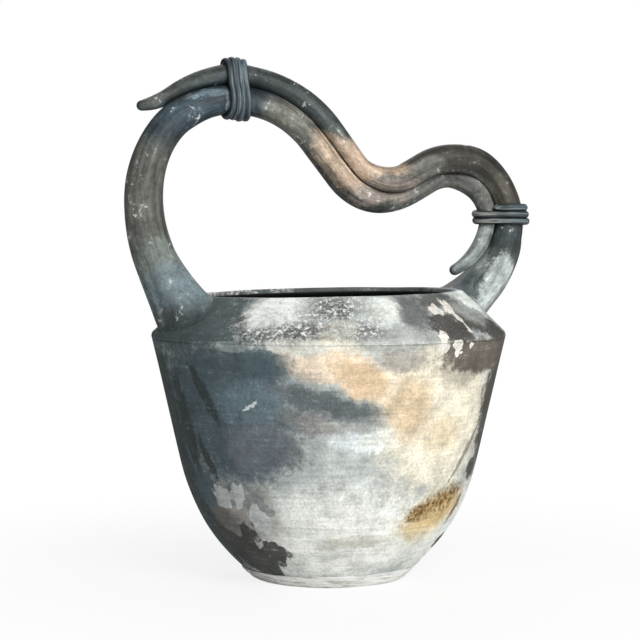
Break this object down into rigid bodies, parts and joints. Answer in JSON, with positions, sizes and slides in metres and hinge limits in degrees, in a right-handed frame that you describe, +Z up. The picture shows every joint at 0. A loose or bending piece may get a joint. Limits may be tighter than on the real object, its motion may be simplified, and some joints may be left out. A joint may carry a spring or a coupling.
{
  "type": "handled clay vase",
  "caption": "Hand-built, smoke-fired clay vase with a sloping shoulder, a wide mouth and an arched handle of paired clay vines lashed together, to hold stems or stand as decor.",
  "frame": {"origin": "centre of the flat underside of the base slab", "axes": "+Z up along the vessel's axis; the handle lies in the XZ plane, with the thick left vine's root at -X and the right vine's root at +X"},
  "size_m": [0.323, 0.2706, 0.3931],
  "materials": {
    "foot_clay": "bare, rough pale fired clay",
    "bowl_clay": "burnished and smoke-fired: slate, ash white, peach and ochre clouds",
    "shoulder_clay": "smoke-fired: slate with crusted ash-white patches",
    "vine_clay": "smoke-fired satin slate with a tan blush",
    "lashing_clay": "satin charcoal"
  },
  "bodies": {
    "root": {"base_slab": "foot_clay", "bowl_wall": "bowl_clay", "shoulder": "shoulder_clay", "left_vine": "vine_clay", "right_vine": "vine_clay", "left_root_fillet": "vine_clay", "right_root_fillet": "vine_clay", "left_lashing": "lashing_clay", "right_lashing": "lashing_clay"}
  },
  "joints": []
}
